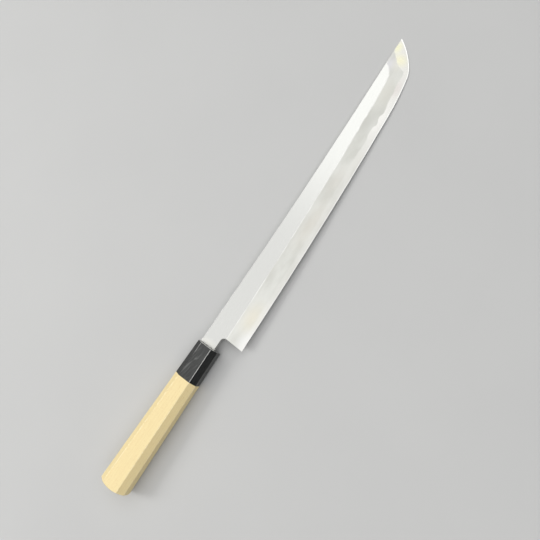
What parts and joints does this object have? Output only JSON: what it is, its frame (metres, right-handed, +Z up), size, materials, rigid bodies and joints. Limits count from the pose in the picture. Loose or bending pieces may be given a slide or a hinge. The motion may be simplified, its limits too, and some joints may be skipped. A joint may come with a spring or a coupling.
{
  "type": "single-bevel slicing knife",
  "caption": "Long single-bevel slicing knife with a sword-shaped point, laminated hollow-ground blade, horn ferrule and pale octagonal wooden handle",
  "frame": {"origin": "on the table, under the middle of the whole knife's bounding box", "axes": "+X runs along the knife to its point, +Y from the edge to the spine, +Z up, with the bevelled side up"},
  "size_m": [0.46, 0.0394, 0.0235],
  "materials": {
    "soft_iron": "satin ground iron",
    "hard_steel": "finely polished steel",
    "pale_wood": "bare, finely sanded",
    "dark_horn": "polished dark horn",
    "pale_seal": "wax-like"
  },
  "bodies": {
    "root": {"soft_iron_body": "soft_iron", "edge_steel": "hard_steel", "wood_handle": "pale_wood", "horn_ferrule": "dark_horn", "mouth_seal": "pale_seal"}
  },
  "joints": []
}
